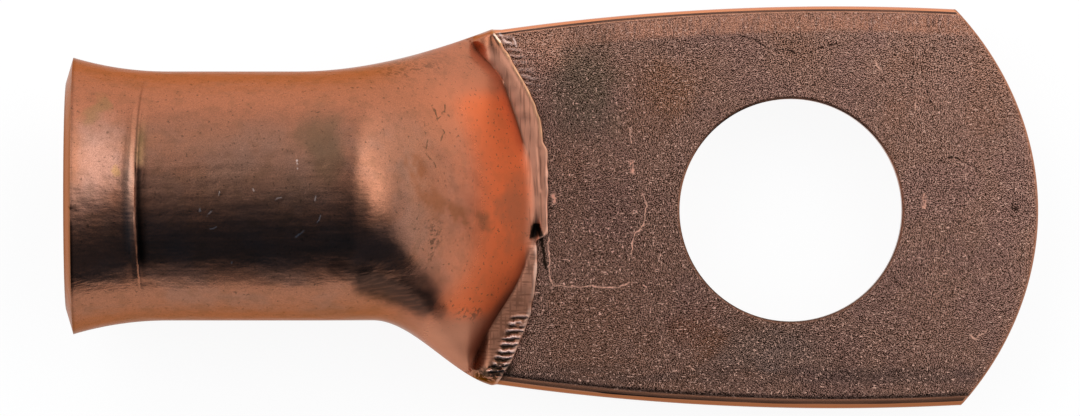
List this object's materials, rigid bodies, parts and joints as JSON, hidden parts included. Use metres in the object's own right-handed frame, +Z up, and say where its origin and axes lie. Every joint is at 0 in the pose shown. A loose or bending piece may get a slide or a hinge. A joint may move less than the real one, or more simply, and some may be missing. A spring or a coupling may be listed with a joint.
{
  "type": "cable lug",
  "caption": "Copper tube cable lug: a round barrel with a belled mouth, pressed flat into a palm with an arc tip and a stud hole.",
  "frame": {"origin": "centre of the stud hole, on the contact face under the palm", "axes": "+X from the barrel's mouth to the tip of the palm, +Z up, square to the palm, away from the contact face"},
  "size_m": [0.0566, 0.0235, 0.0162],
  "materials": {
    "copper": "bare drawn copper, satin on the barrel and dull brown oxide on the palm"
  },
  "bodies": {
    "root": {"cable_lug": "copper"}
  },
  "joints": []
}
